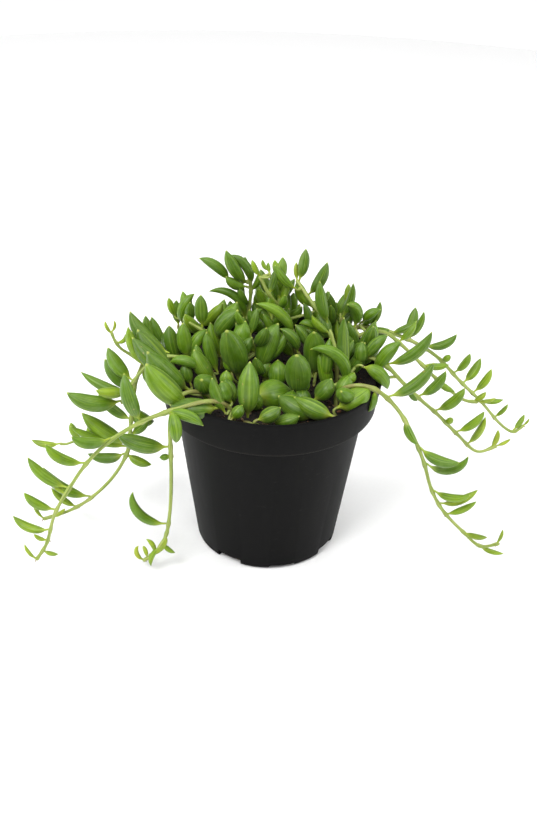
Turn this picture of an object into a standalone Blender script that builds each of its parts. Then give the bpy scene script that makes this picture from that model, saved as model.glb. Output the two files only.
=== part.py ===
"""Potted string of bananas: a trailing succulent in a round nursery pot.

Metres, +Z up.  The origin is the middle of the pot's flat underside, so the plant stands on z = 0.
A direction "around" the pot is an angle in degrees from +X towards +Y; -Y is the front.
"""

import math

import bmesh
import bpy
from mathutils import Matrix, Vector

COLLECTION = "potted_string_of_bananas"

# Pot: a moulded nursery pot with a deep collar, and drain notches in its bottom corner
POT_HEIGHT = 0.098
RIM_RADIUS = 0.055
COLLAR_HEIGHT = 0.0175
COLLAR_DRAFT = 0.003
SHOULDER_STEP = 0.0052
FOOT_RADIUS = 0.036
POT_WALL = 0.0012
POT_FLOOR = 0.0016
LIP_ROUND = 0.0005
NOTCH_COUNT = 8
NOTCH_WIDTH = 0.0135
NOTCH_HEIGHTS = (0.0042, 0.0019)
NOTCH_DEPTH = 0.006
NOTCH_FIRST = 59.0
TURN_STEPS = 48

# Soil: fills the pot to a little below the rim, with a low mound
SOIL_BELOW_RIM = 0.0095
SOIL_MOUND = 0.0025

# Clearance between pieces that touch
GAP = 0.0003

# Stems
STEM_RADIUS = 0.0013
STEM_TIP_SHARE = 0.7
STEM_POINT_SPACING = 0.0055
CURVE_SAMPLES = 24

# Leaves: plump spindles; stations run from the cut foot (0) to the tip (1), each with its share
# of the full width
LEAF_SIDES = 8
LEAF_FOOT_SHARE = 0.14
LEAF_PROFILE = (
    (0.0, 0.0),
    (0.0, LEAF_FOOT_SHARE),
    (0.10, 0.34),
    (0.28, 0.85),
    (0.50, 1.0),
    (0.72, 0.86),
    (0.90, 0.42),
    (1.0, 0.0),
)
LEAF_DEPTH_SHARE = 0.88

# Trailing stems.  Each point is (around, out from the rim's outer edge, level).  A level above the
# rim is a height in metres; a level below it is a negative share of the pot's height, and -1 is
# what the pot stands on.
TRAILING_STEMS = {
    "stem_left_front": (
        (246, -0.013, -0.04),
        (242, -0.008, 0.0029),
        (236, -0.002, 0.0049),
        (228, 0.007, 0.0020),
        (219, 0.019, -0.05),
        (213, 0.032, -0.16),
        (210, 0.042, -0.28),
        (208, 0.050, -0.42),
        (207, 0.058, -0.57),
        (207, 0.063, -0.73),
        (207, 0.069, -0.82),
    ),
    "stem_left_middle": (
        (174, -0.014, -0.03),
        (176, -0.006, 0.0034),
        (179, 0.002, 0.0044),
        (183, 0.008, -0.02),
        (186, 0.012, -0.13),
        (188, 0.014, -0.30),
        (188, 0.016, -0.47),
        (188, 0.024, -0.63),
        (188, 0.036, -0.76),
        (187, 0.048, -0.85),
        (188, 0.061, -0.88),
    ),
    "stem_left_hanging": (
        (226, -0.014, -0.01),
        (223, -0.005, 0.0039),
        (222, 0.003, 0.0020),
        (221, 0.006, -0.10),
        (221, 0.006, -0.25),
        (221, 0.006, -0.42),
        (221, 0.007, -0.60),
        (220, 0.009, -0.76),
        (217, 0.013, -0.87),
        (214, 0.018, -0.93),
    ),
    "stem_left_upper": (
        (192, -0.026, -0.02),
        (189, -0.020, 0.0030),
        (187, -0.012, 0.0055),
        (186, -0.003, 0.0055),
        (188, 0.005, 0.0020),
        (190, 0.012, -0.05),
        (190, 0.018, -0.17),
    ),
    "stem_right_front": (
        (324, -0.016, -0.01),
        (327, -0.008, 0.0049),
        (331, 0.001, 0.0039),
        (335, 0.010, -0.05),
        (337, 0.018, -0.18),
        (339, 0.025, -0.35),
        (340, 0.030, -0.51),
        (341, 0.037, -0.64),
        (343, 0.048, -0.77),
        (344, 0.057, -0.85),
        (344, 0.066, -0.81),
    ),
    "stem_right_middle": (
        (6, -0.018, -0.01),
        (358, -0.009, 0.0069),
        (353, 0.001, 0.0049),
        (353, 0.009, -0.03),
        (355, 0.018, -0.13),
        (358, 0.028, -0.24),
        (0, 0.040, -0.38),
        (1, 0.051, -0.49),
        (3, 0.062, -0.48),
    ),
    "stem_right_rear": (
        (40, -0.014, -0.01),
        (36, -0.005, 0.0059),
        (31, 0.004, 0.0059),
        (27, 0.015, 0.0020),
        (25, 0.026, -0.04),
        (23, 0.039, -0.14),
        (21, 0.051, -0.28),
        (20, 0.065, -0.43),
        (20, 0.078, -0.59),
        (19, 0.086, -0.65),
        (19, 0.092, -0.62),
    ),
    "stem_right_upper": (
        (24, -0.016, -0.01),
        (23, -0.008, 0.0078),
        (21, 0.004, 0.0088),
        (18, 0.013, 0.0020),
        (15, 0.022, -0.07),
        (12, 0.032, -0.17),
        (9, 0.044, -0.26),
        (8, 0.052, -0.27),
    ),
}

# Crown stems.  Each point is (around, share of the soil's radius, height above the soil).
CROWN_STEMS = {
    "shoot_back_left": (
        (114, 0.66, 0.008),
        (113, 0.60, 0.022),
        (112, 0.58, 0.034),
        (114, 0.58, 0.042),
    ),
    "shoot_middle": (
        (62, 0.46, 0.008),
        (62, 0.40, 0.018),
        (74, 0.32, 0.029),
        (100, 0.24, 0.039),
        (122, 0.24, 0.049),
    ),
    "shoot_left": (
        (160, 0.50, 0.008),
        (164, 0.58, 0.017),
        (167, 0.68, 0.022),
        (168, 0.80, 0.026),
    ),
    "shoot_right": (
        (352, 0.62, 0.008),
        (4, 0.58, 0.019),
        (18, 0.50, 0.029),
        (38, 0.44, 0.036),
        (62, 0.46, 0.043),
    ),
    "shoot_right_low": (
        (326, 0.58, 0.005),
        (334, 0.67, 0.007),
        (342, 0.74, 0.010),
        (349, 0.79, 0.013),
    ),
    "shoot_left_low": (
        (222, 0.74, 0.005),
        (214, 0.86, 0.0065),
        (203, 0.89, 0.0085),
        (192, 0.87, 0.0095),
    ),
}

# Creeping stems, which lie on the soil.  Each point is (around, share of the soil's radius).
CREEPERS = {
    "creeper_front": ((252, 0.78), (264, 0.80), (278, 0.81), (292, 0.82), (306, 0.84)),
    "creeper_middle": ((186, 0.40), (214, 0.30), (258, 0.36), (300, 0.46), (338, 0.42), (8, 0.42)),
}

# Leaves.  Each row: name, stem, share of the way along the stem, heading around, rise above level,
# length, width, bow (how far it curls, degrees) and turn (0 curls upwards, 90 to the left of its
# heading, seen from above).
LEAVES = (
    # left front strand
    ("left_front_1", "stem_left_front", 0.36, 165, 74, 0.024, 0.0080, 25, 90),
    ("left_front_2", "stem_left_front", 0.48, 205, 18, 0.018, 0.0065, 35, 0),
    ("left_front_3", "stem_left_front", 0.60, 185, 33, 0.020, 0.0060, 35, 0),
    ("left_front_4", "stem_left_front", 0.71, 165, 35, 0.023, 0.0062, 30, 0),
    ("left_front_5", "stem_left_front", 0.80, 190, 40, 0.017, 0.0054, 25, 0),
    ("left_front_6", "stem_left_front", 0.88, 168, 16, 0.018, 0.0052, 40, 0),
    # left middle strand
    ("left_middle_1", "stem_left_middle", 0.58, 170, -8, 0.019, 0.0065, 30, 0),
    ("left_middle_2", "stem_left_middle", 0.80, 180, 38, 0.028, 0.0070, 35, 0),
    # left hanging strand
    ("left_hanging_1", "stem_left_hanging", 0.42, 180, 15, 0.024, 0.0095, 20, 0),
    ("left_hanging_2", "stem_left_hanging", 0.78, 172, 48, 0.023, 0.0058, 60, 0),
    # upper left strand
    ("left_upper_1", "stem_left_upper", 0.46, 152, 38, 0.027, 0.0088, 35, 0),
    ("left_upper_2", "stem_left_upper", 0.79, 148, 44, 0.019, 0.0080, 25, 0),
    ("left_upper_3", "stem_left_upper", 0.99, 190, 15, 0.026, 0.0095, 30, 0),
    # right front strand
    ("right_front_1", "stem_right_front", 0.24, 8, 42, 0.026, 0.0070, 30, 0),
    ("right_front_2", "stem_right_front", 0.46, 328, 0, 0.020, 0.0062, 35, 0),
    ("right_front_3", "stem_right_front", 0.53, 352, 22, 0.020, 0.0052, 60, 0),
    ("right_front_4", "stem_right_front", 0.64, 335, 12, 0.018, 0.0048, 35, 0),
    ("right_front_5", "stem_right_front", 0.70, 20, 12, 0.020, 0.0048, 30, 0),
    # right middle strand
    ("right_middle_1", "stem_right_middle", 0.27, 354, 46, 0.027, 0.0070, 30, 0),
    ("right_middle_2", "stem_right_middle", 0.47, 0, 52, 0.018, 0.0062, 25, 0),
    ("right_middle_3", "stem_right_middle", 0.59, 2, 46, 0.018, 0.0062, 25, 0),
    ("right_middle_4", "stem_right_middle", 0.75, 2, 45, 0.017, 0.0052, 25, 0),
    # right rear strand
    ("right_rear_1", "stem_right_rear", 0.33, 60, 60, 0.015, 0.0060, 25, 0),
    ("right_rear_2", "stem_right_rear", 0.41, 355, 28, 0.017, 0.0055, 40, 0),
    ("right_rear_3", "stem_right_rear", 0.57, 0, 60, 0.013, 0.0050, 20, 0),
    ("right_rear_4", "stem_right_rear", 0.63, 35, 50, 0.015, 0.0055, 25, 0),
    ("right_rear_5", "stem_right_rear", 0.69, 20, 56, 0.015, 0.0050, 25, 0),
    ("right_rear_6", "stem_right_rear", 0.96, 35, 50, 0.010, 0.0034, 20, 0),
    # crown
    ("crown_left_1", "shoot_left_low", 0.72, 158, 36, 0.030, 0.0095, 25, 0),
    ("crown_left_2", "shoot_left_low", 0.48, 192, 50, 0.029, 0.0110, 20, 0),
    ("crown_left_3", "shoot_left", 0.52, 340, 58, 0.021, 0.0100, 20, 180),
    ("crown_left_4", "shoot_left", 0.80, 108, 80, 0.016, 0.0065, 20, 0),
    ("crown_front_1", "creeper_front", 0.06, 85, 80, 0.027, 0.0100, 15, 180),
    ("crown_front_2", "creeper_front", 0.90, 165, 22, 0.020, 0.0080, 20, 0),
    ("crown_middle_1", "creeper_middle", 0.10, 235, 72, 0.032, 0.0130, 15, 180),
    ("crown_middle_2", "creeper_middle", 0.62, 258, 70, 0.029, 0.0120, 15, 180),
    ("crown_middle_3", "creeper_middle", 0.92, 255, 76, 0.029, 0.0110, 25, 180),
    ("crown_right_1", "shoot_right_low", 0.74, 118, 80, 0.029, 0.0060, 20, 0),
    ("crown_right_2", "shoot_right", 0.55, 185, 78, 0.023, 0.0065, 15, 0),
    ("crown_right_3", "shoot_right", 0.84, 345, 66, 0.020, 0.0065, 25, 0),
    ("crown_right_4", "shoot_right", 0.99, 40, 78, 0.016, 0.0055, 15, 0),
    ("crown_back_left_1", "shoot_back_left", 0.92, 192, 60, 0.021, 0.0070, 25, 0),
)


def clear_scene():
    for existing in list(bpy.data.objects):
        bpy.data.objects.remove(existing, do_unlink=True)


def new_collection(name):
    collection = bpy.data.collections.new(name)
    bpy.context.scene.collection.children.link(collection)
    return collection


def new_material(name, colour, roughness, subsurface=0.0):
    material = bpy.data.materials.new(name)
    material.use_nodes = True
    shader = material.node_tree.nodes["Principled BSDF"]
    shader.inputs["Base Color"].default_value = (*colour, 1.0)
    shader.inputs["Roughness"].default_value = roughness
    shader.inputs["Metallic"].default_value = 0.0
    shader.inputs["Subsurface Weight"].default_value = subsurface
    material.diffuse_color = (*colour, 1.0)
    return material


def add_object(name, data, collection, material):
    obj = bpy.data.objects.new(name, data)
    if not data.materials:
        data.materials.append(material)
    collection.objects.link(obj)
    return obj


def shoulder_radius():
    """Outer radius of the body just under the collar."""
    return RIM_RADIUS - COLLAR_DRAFT - SHOULDER_STEP


def ledge_height():
    """Height of the inner ledge where the collar widens from the body."""
    return POT_HEIGHT - COLLAR_HEIGHT


def pot_inner_radius(height):
    """Inner radius of the wall at a height, following the body's and the collar's taper."""
    if height >= ledge_height():
        share = (height - ledge_height()) / COLLAR_HEIGHT
        return RIM_RADIUS - COLLAR_DRAFT * (1.0 - share) - POT_WALL
    share = height / (ledge_height() - POT_WALL)
    return FOOT_RADIUS + (shoulder_radius() - FOOT_RADIUS) * share - POT_WALL


def turned(name, profile, collection, material):
    """A closed turned solid from a profile of (radius, height), inside to outside, top to bottom."""
    mesh = bpy.data.meshes.new(name)
    bm = bmesh.new()
    verts = [bm.verts.new((radius, 0.0, height)) for radius, height in profile]
    for first, second in zip(verts, verts[1:]):
        bm.edges.new((first, second))
    bm.to_mesh(mesh)
    bm.free()
    obj = add_object(name, mesh, collection, material)
    screw = obj.modifiers.new("turn", "SCREW")
    screw.steps = TURN_STEPS
    screw.render_steps = TURN_STEPS
    screw.use_merge_vertices = True
    screw.merge_threshold = 0.00001
    screw.use_smooth_shade = True
    return obj


def make_pot(collection, cutters, material):
    ledge = ledge_height()
    shoulder = shoulder_radius()
    rim_inner = pot_inner_radius(POT_HEIGHT)
    profile = (
        (0.0, POT_FLOOR),
        (pot_inner_radius(POT_FLOOR), POT_FLOOR),
        (shoulder - POT_WALL, ledge - POT_WALL),
        (pot_inner_radius(ledge), ledge),
        (rim_inner, POT_HEIGHT - LIP_ROUND),
        (rim_inner + LIP_ROUND, POT_HEIGHT),
        (RIM_RADIUS - LIP_ROUND, POT_HEIGHT),
        (RIM_RADIUS, POT_HEIGHT - LIP_ROUND),
        (RIM_RADIUS - COLLAR_DRAFT, ledge - POT_WALL + LIP_ROUND),
        (RIM_RADIUS - COLLAR_DRAFT - LIP_ROUND, ledge - POT_WALL),
        (shoulder, ledge - 2 * POT_WALL),
        (FOOT_RADIUS, POT_WALL),
        (FOOT_RADIUS - POT_WALL, 0.0),
        (0.0, 0.0),
    )
    pot = turned("pot", profile, collection, material)
    for index in range(NOTCH_COUNT):
        around = math.radians(NOTCH_FIRST - 90.0 + index * 360.0 / NOTCH_COUNT)
        height = NOTCH_HEIGHTS[index % len(NOTCH_HEIGHTS)]
        cutter = make_cutter(f"notch_cutter_{index + 1}", height, cutters)
        cutter.location = (
            FOOT_RADIUS * math.cos(around),
            FOOT_RADIUS * math.sin(around),
            0.0,
        )
        cutter.rotation_euler = (0.0, 0.0, around)
        cut = pot.modifiers.new(f"notch_{index + 1}", "BOOLEAN")
        cut.operation = "DIFFERENCE"
        cut.solver = "EXACT"
        cut.object = cutter
    return pot


def make_cutter(name, height, cutters):
    """A box that takes a corner notch out of the foot; it reaches as far below z = 0 as above."""
    mesh = bpy.data.meshes.new(name)
    bm = bmesh.new()
    bmesh.ops.create_cube(bm, size=1.0)
    bmesh.ops.scale(bm, vec=(2 * NOTCH_DEPTH, NOTCH_WIDTH, 2 * height), verts=bm.verts)
    bm.to_mesh(mesh)
    bm.free()
    cutter = bpy.data.objects.new(name, mesh)
    cutter.hide_render = True
    cutter.display_type = "WIRE"
    cutters.objects.link(cutter)
    return cutter


def soil_edge_height():
    return POT_HEIGHT - SOIL_BELOW_RIM


def soil_radius():
    return pot_inner_radius(soil_edge_height()) - GAP


def soil_height(radius):
    """Height of the soil's mounded top at a distance from the axis."""
    share = min(radius / soil_radius(), 1.0)
    return soil_edge_height() + SOIL_MOUND * (1.0 - share * share)


def make_soil(collection, material):
    ledge = ledge_height()
    edge = soil_edge_height()
    top = [(soil_radius() * share, soil_height(soil_radius() * share)) for share in (0.0, 0.35, 0.7)]
    profile = (
        *top,
        (soil_radius(), edge),
        (pot_inner_radius(ledge) - GAP, ledge + GAP),
        (shoulder_radius() - POT_WALL - GAP, ledge - POT_WALL + GAP),
        (pot_inner_radius(POT_FLOOR + GAP) - GAP, POT_FLOOR + GAP),
        (0.0, POT_FLOOR + GAP),
    )
    return turned("soil", profile, collection, material)


def polar(around, radius, height):
    angle = math.radians(around)
    return Vector((radius * math.cos(angle), radius * math.sin(angle), height))


def rooted(points):
    """The route with its first point let down to just above the soil, straight under itself."""
    first = points[0].copy()
    first.z = soil_height(math.hypot(first.x, first.y)) + GAP
    second = points[0].copy()
    second.z = max(points[0].z, first.z + 2 * STEM_RADIUS)
    return [first, second, *points[1:]]


def trailing_route(rows):
    points = []
    for around, out, level in rows:
        rise = level if level > 0 else level * POT_HEIGHT
        points.append(polar(around, RIM_RADIUS + out, POT_HEIGHT + rise))
    return rooted(points)


def crown_route(rows):
    points = []
    for around, share, height in rows:
        radius = soil_radius() * share
        points.append(polar(around, radius, soil_height(radius) + height))
    return rooted(points)


def creeper_route(rows):
    points = []
    for around, share in rows:
        radius = soil_radius() * share
        points.append(polar(around, radius, soil_height(radius) + GAP + STEM_RADIUS))
    return points


def smooth(points):
    """Closely spaced points on a Catmull-Rom curve through the route."""
    ends = [points[0] * 2 - points[1], *points, points[-1] * 2 - points[-2]]
    dense = []
    for before, start, finish, after in zip(ends, ends[1:], ends[2:], ends[3:]):
        for sample in range(CURVE_SAMPLES):
            t = sample / CURVE_SAMPLES
            pull = (finish - before) * t
            bend = (before * 2 - start * 5 + finish * 4 - after) * t * t
            ease = (start * 3 - before - finish * 3 + after) * t * t * t
            dense.append(start + (pull + bend + ease) * 0.5)
    dense.append(points[-1].copy())
    return dense


def along(dense, share):
    """Point and direction at a share of the way along a curve."""
    spans = [(second - first).length for first, second in zip(dense, dense[1:])]
    left = share * sum(spans)
    for first, second, span in zip(dense, dense[1:], spans):
        if left <= span:
            break
        left -= span
    return first.lerp(second, min(left / span, 1.0)), (second - first).normalized()


def stem_radius_at(share):
    return STEM_RADIUS * (1.0 - (1.0 - STEM_TIP_SHARE) * share)


def make_stem(name, dense, collection, material):
    length = sum((second - first).length for first, second in zip(dense, dense[1:]))
    count = max(4, round(length / STEM_POINT_SPACING))
    curve = bpy.data.curves.new(name, "CURVE")
    curve.dimensions = "3D"
    curve.bevel_depth = 1.0
    curve.bevel_resolution = 2
    curve.use_fill_caps = True
    spline = curve.splines.new("POLY")
    spline.points.add(count)
    for index, point in enumerate(spline.points):
        share = index / count
        place, _ = along(dense, share)
        point.co = (*place, 1.0)
        point.radius = stem_radius_at(share)
    return add_object(name, curve, collection, material)


def leaf_mesh(name, length, width, bow):
    """A spindle along +Z from its cut foot at the origin, curling towards +X."""
    half_bow = math.radians(bow) / 2
    bend_radius = length / (2 * math.sin(half_bow))
    rings = len(LEAF_PROFILE) - 1
    mesh = bpy.data.meshes.new(name)
    bm = bmesh.new()
    bmesh.ops.create_uvsphere(bm, u_segments=LEAF_SIDES, v_segments=rings, radius=1.0)
    for vert in bm.verts:
        level = max(-1.0, min(1.0, -vert.co.z))
        ring = round(math.acos(level) / math.pi * rings)
        station, share = LEAF_PROFILE[ring]
        spoke = Vector((vert.co.x, vert.co.y))
        if 0 < ring < rings:
            spoke.normalize()
        else:
            spoke.zero()
        angle = half_bow * (2 * station - 1)
        centre = Vector((math.cos(half_bow) - math.cos(angle), 0.0, math.sin(angle) + math.sin(half_bow)))
        across = Vector((math.cos(angle), 0.0, -math.sin(angle)))
        side = across * spoke.x * LEAF_DEPTH_SHARE + Vector((0.0, spoke.y, 0.0))
        vert.co = centre * bend_radius + side * share * width / 2
    bmesh.ops.recalc_face_normals(bm, faces=bm.faces)
    bm.to_mesh(mesh)
    bm.free()
    mesh.shade_smooth()
    return mesh


def make_leaf(row, routes, collection, material):
    name, stem, share, heading, rise, length, width, bow, turn = row
    centre, tangent = along(routes[stem], share)
    flat = math.cos(math.radians(rise))
    chord = polar(heading, flat, math.sin(math.radians(rise)))
    outward = chord - tangent * chord.dot(tangent)
    outward.normalize()
    foot = width / 2 * LEAF_FOOT_SHARE
    tilt = math.radians(bow) / 2
    lean = min(1.0, abs(chord.dot(tangent)) + math.sin(tilt))
    seat = centre + outward * (stem_radius_at(share) + GAP + foot * lean)
    curl = Vector((0.0, 0.0, 1.0)) - chord * chord.z
    curl.normalize()
    curl = Matrix.Rotation(math.radians(turn), 3, chord) @ curl
    turned_axes = Matrix((curl, chord.cross(curl), chord)).transposed()
    leaf = add_object(f"leaf_{name}", leaf_mesh(f"leaf_{name}", length, width, bow), collection, material)
    leaf.matrix_world = Matrix.Translation(seat) @ turned_axes.to_4x4()
    return leaf


def main():
    clear_scene()
    parts = new_collection(COLLECTION)
    cutters = new_collection("cutters")
    plastic = new_material("black_plastic", (0.017, 0.017, 0.016), 0.45)
    compost = new_material("potting_soil", (0.035, 0.024, 0.016), 0.95)
    stem_skin = new_material("stem_skin", (0.35, 0.42, 0.13), 0.50, 0.1)
    leaf_skin = new_material("leaf_skin", (0.12, 0.20, 0.03), 0.38, 0.15)

    make_pot(parts, cutters, plastic)
    make_soil(parts, compost)
    routes = {}
    for name, rows in TRAILING_STEMS.items():
        routes[name] = smooth(trailing_route(rows))
    for name, rows in CROWN_STEMS.items():
        routes[name] = smooth(crown_route(rows))
    for name, rows in CREEPERS.items():
        routes[name] = smooth(creeper_route(rows))
    for name, dense in routes.items():
        make_stem(name, dense, parts, stem_skin)
    for row in LEAVES:
        make_leaf(row, routes, parts, leaf_skin)


main()
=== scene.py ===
# %% [markdown]
# # A potted string of bananas
# This lesson builds a small trailing succulent in a black nursery pot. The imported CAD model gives
# every size and place. The looks are modelled around it: a moulded pot, crumbly potting mix, ribbed
# stems with a joint at each leaf, and plump spindle leaves with a wax bloom.

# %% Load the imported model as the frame
import math
import random

import bmesh
import bpy
from mathutils import Matrix, Vector, noise


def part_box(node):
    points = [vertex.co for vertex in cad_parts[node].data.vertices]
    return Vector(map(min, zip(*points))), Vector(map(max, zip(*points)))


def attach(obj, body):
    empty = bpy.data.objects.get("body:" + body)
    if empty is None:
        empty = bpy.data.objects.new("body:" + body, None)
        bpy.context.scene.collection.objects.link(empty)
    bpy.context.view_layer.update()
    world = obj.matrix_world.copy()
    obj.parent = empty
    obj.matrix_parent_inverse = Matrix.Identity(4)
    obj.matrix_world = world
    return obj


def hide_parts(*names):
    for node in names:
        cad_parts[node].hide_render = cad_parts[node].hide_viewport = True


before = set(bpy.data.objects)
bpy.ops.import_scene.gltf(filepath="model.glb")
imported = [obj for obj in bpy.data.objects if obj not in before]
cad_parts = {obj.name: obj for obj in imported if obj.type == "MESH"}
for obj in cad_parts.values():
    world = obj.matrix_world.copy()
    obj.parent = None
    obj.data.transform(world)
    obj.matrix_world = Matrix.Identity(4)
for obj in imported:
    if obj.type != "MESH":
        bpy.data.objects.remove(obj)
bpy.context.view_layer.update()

MM = 0.001

# %% [markdown]
# ## Where the pot and the soil are
# Everything is measured from two CAD nodes. The pot's box gives the rim's radius and height, and the
# soil's box gives the radius and the height of the top that the plant grows from.

# %% Measure the pot and the soil
_, pot_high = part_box("pot")
soil_low, soil_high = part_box("soil")
POT_TOP = pot_high.z
RIM_RADIUS = pot_high.x
SOIL_RADIUS = soil_high.x
SOIL_MOUND = 2.5 * MM
SOIL_EDGE = soil_high.z - SOIL_MOUND
SOIL_BOTTOM = soil_low.z
print("rim radius", round(RIM_RADIUS / MM, 1), "soil edge at", round(SOIL_EDGE / MM, 1), "mm")


# %% [markdown]
# ## Small tools for every material
# Colours are written as the hex values a screen shows, and one function turns them to the linear
# values that Blender calculates with. One helper adds a node and fills its inputs, and short ones
# for the textures that come back in every material are built on it.

# %% Colour helper
def paint(code):
    """A linear colour from an sRGB hex code."""
    parts = [int(code[start:start + 2], 16) / 255 for start in (1, 3, 5)]
    linear = [part / 12.92 if part <= 0.04045 else ((part + 0.055) / 1.055) ** 2.4 for part in parts]
    return (*linear, 1.0)


print("mid grey is", [round(value, 3) for value in paint("#808080")[:3]])


# %% Node helpers
def fill(tree, node, **inputs):
    """Give inputs a value or a link; _ stands for a space in a name, and _0 is the first input."""
    for name, value in inputs.items():
        socket = node.inputs[int(name[1:])] if name[1:].isdigit() else node.inputs[name.replace("_", " ")]
        if isinstance(value, bpy.types.NodeSocket):
            tree.links.new(value, socket)
        else:
            socket.default_value = value


def add_node(tree, kind, settings=None, **inputs):
    """One node with its settings and its inputs."""
    node = tree.nodes.new(kind)
    for name, value in (settings or {}).items():
        setattr(node, name, value)
    fill(tree, node, **inputs)
    return node


def new_material(name):
    """An empty material, its node tree and its Principled shader."""
    material = bpy.data.materials.new(name)
    material.use_nodes = True
    tree = material.node_tree
    return material, tree, tree.nodes["Principled BSDF"]


def object_place(tree):
    """The place on the object, in metres."""
    return add_node(tree, "ShaderNodeTexCoord").outputs["Object"]


def attribute(tree, name, output="Fac"):
    """A value or a vector that the mesh stores on its vertices."""
    return add_node(tree, "ShaderNodeAttribute", {"attribute_name": name}).outputs[output]


def stretch(tree, place, *scale):
    """The place, scaled by a factor for each axis."""
    return add_node(tree, "ShaderNodeMapping", Vector=place, Scale=scale).outputs["Vector"]


def noise_at(tree, place, size, detail, **inputs):
    """Noise with lumps of about one size."""
    return add_node(
        tree, "ShaderNodeTexNoise", Vector=place, Scale=1 / size, Detail=detail, **inputs).outputs["Fac"]


def relief(tree, height, strength, distance):
    """A normal that follows a height."""
    return add_node(
        tree, "ShaderNodeBump", Height=height, Strength=strength, Distance=distance).outputs["Normal"]


def ramp(tree, factor, *stops):
    """A colour ramp through (place, hex) stops."""
    node = add_node(tree, "ShaderNodeValToRGB", Fac=factor)
    elements = node.color_ramp.elements
    while len(elements) < len(stops):
        elements.new(0.5)
    for element, (place, code) in zip(elements, stops):
        element.position = place
        element.color = paint(code)
    return node.outputs["Color"]


def tint(tree, factor, colour, code):
    """The colour, with a hex colour laid over it by a factor."""
    return add_node(
        tree, "ShaderNodeMix", {"data_type": "RGBA"}, _0=factor, _6=colour, _7=paint(code)).outputs[2]


def fade(tree, value, low, high, start=0.0, end=1.0):
    """A smooth change from start to end as a value goes from low to high."""
    return add_node(
        tree, "ShaderNodeMapRange", {"interpolation_type": "SMOOTHSTEP"},
        Value=value, From_Min=low, From_Max=high, To_Min=start, To_Max=end).outputs["Result"]


def between(tree, value, low, high):
    """A value from 0 to 1, moved to the span from low to high."""
    return add_node(tree, "ShaderNodeMapRange", Value=value, To_Min=low, To_Max=high).outputs["Result"]


def math_node(tree, operation, first, second=0.0):
    """The result of one sum."""
    return add_node(tree, "ShaderNodeMath", {"operation": operation}, _0=first, _1=second).outputs[0]


print("node helpers ready")


# %% [markdown]
# ## Placing finished pieces
# A finished piece is a mesh whose vertices already stand in the right place, so its object sits at
# the origin. Each one rides on the plant's only body and may stand for CAD nodes, which are then
# hidden.


def link_object(name, data):
    """A new object in the scene, for a mesh, a light or a camera."""
    obj = bpy.data.objects.new(name, data)
    bpy.context.scene.collection.objects.link(obj)
    return obj


def mesh_object(name, bm, material=None):
    """A new object from a bmesh, which is used up."""
    mesh = bpy.data.meshes.new(name)
    bm.to_mesh(mesh)
    bm.free()
    if material:
        mesh.materials.append(material)
    return link_object(name, mesh)


def finish_piece(name, bm, material, stands_for=(), levels=0):
    """A smooth piece from a bmesh, riding on the root."""
    piece = mesh_object(name, bm, material)
    piece.data.shade_smooth()
    if levels:
        subdivision = piece.modifiers.new("smooth skin", "SUBSURF")
        subdivision.levels = levels
        subdivision.render_levels = levels
    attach(piece, "root")
    if stands_for:
        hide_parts(*stands_for)
    return piece


# %% [markdown]
# ## The pot's plastic
# A nursery pot is moulded from recycled black polypropylene. The mould is finely sparked, so the
# plastic is satin and not glossy. Long soft streaks come from the way it flowed, and there are faint
# scuffs. A lighter grainy band along the collar's lower edge is a painted highlight of that edge.

# %% Moulded black polypropylene
GRAIN = 0.35 * MM      # sparked mould texture; real grains of 0.1 mm would not show
FLOW = 6.0 * MM        # width of a flow streak
SCUFF = 5.0 * MM       # length of a scuff
LIT_EDGE_DEPTH = 18.8 * MM   # how far the painted highlight on the collar's lower edge is below the rim
LIT_EDGE_REACH = 1.6 * MM


def make_pot_plastic():
    material, tree, shader = new_material("moulded_black_polypropylene")
    place = object_place(tree)
    grain = noise_at(tree, place, GRAIN, 2.0)
    flow = noise_at(tree, stretch(tree, place, 1.0, 1.0, 0.12), FLOW, 4.0)
    scuff = noise_at(tree, stretch(tree, place, 1.0, 1.0, 4.0), SCUFF, 6.0, Roughness=0.7)
    scuffed = math_node(tree, "MULTIPLY", fade(tree, scuff, 0.60, 0.72), 0.35)
    colour = ramp(tree, flow, (0.25, "#080808"), (0.55, "#0b0b0b"), (0.8, "#10100f"))
    colour = tint(tree, scuffed, colour, "#33322f")
    # Painted highlight: a lighter grainy band of #3d3934 along the collar's lower edge, where the edge
    # catches the light.
    height = add_node(tree, "ShaderNodeSeparateXYZ", Vector=place).outputs["Z"]
    lit_edge_distance = math_node(tree, "ABSOLUTE", math_node(tree, "SUBTRACT", height, POT_TOP - LIT_EDGE_DEPTH))
    painted_highlight = math_node(tree, "MULTIPLY", fade(tree, lit_edge_distance, 0.0, LIT_EDGE_REACH, 0.5, 0.0), grain)
    fill(
        tree, shader, Base_Color=tint(tree, painted_highlight, colour, "#3d3934"),
        Roughness=between(tree, flow, 0.46, 0.62), Normal=relief(tree, grain, 0.18, 0.05 * MM),
        IOR=1.49, Specular_IOR_Level=0.07)
    return material


pot_plastic = make_pot_plastic()
print("made", pot_plastic.name)

# %% [markdown]
# ## The pot
# The pot is a thin turned wall: a deep collar with a rolled lip, a step in under the collar, and a
# tapering body. Its half outline is drawn once as a chain of edges, the corners of the chain are
# rounded with a bevel, and the chain is spun round the axis. Drain notches are then cut out of the
# bottom corner, alternately tall and shallow.

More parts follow.
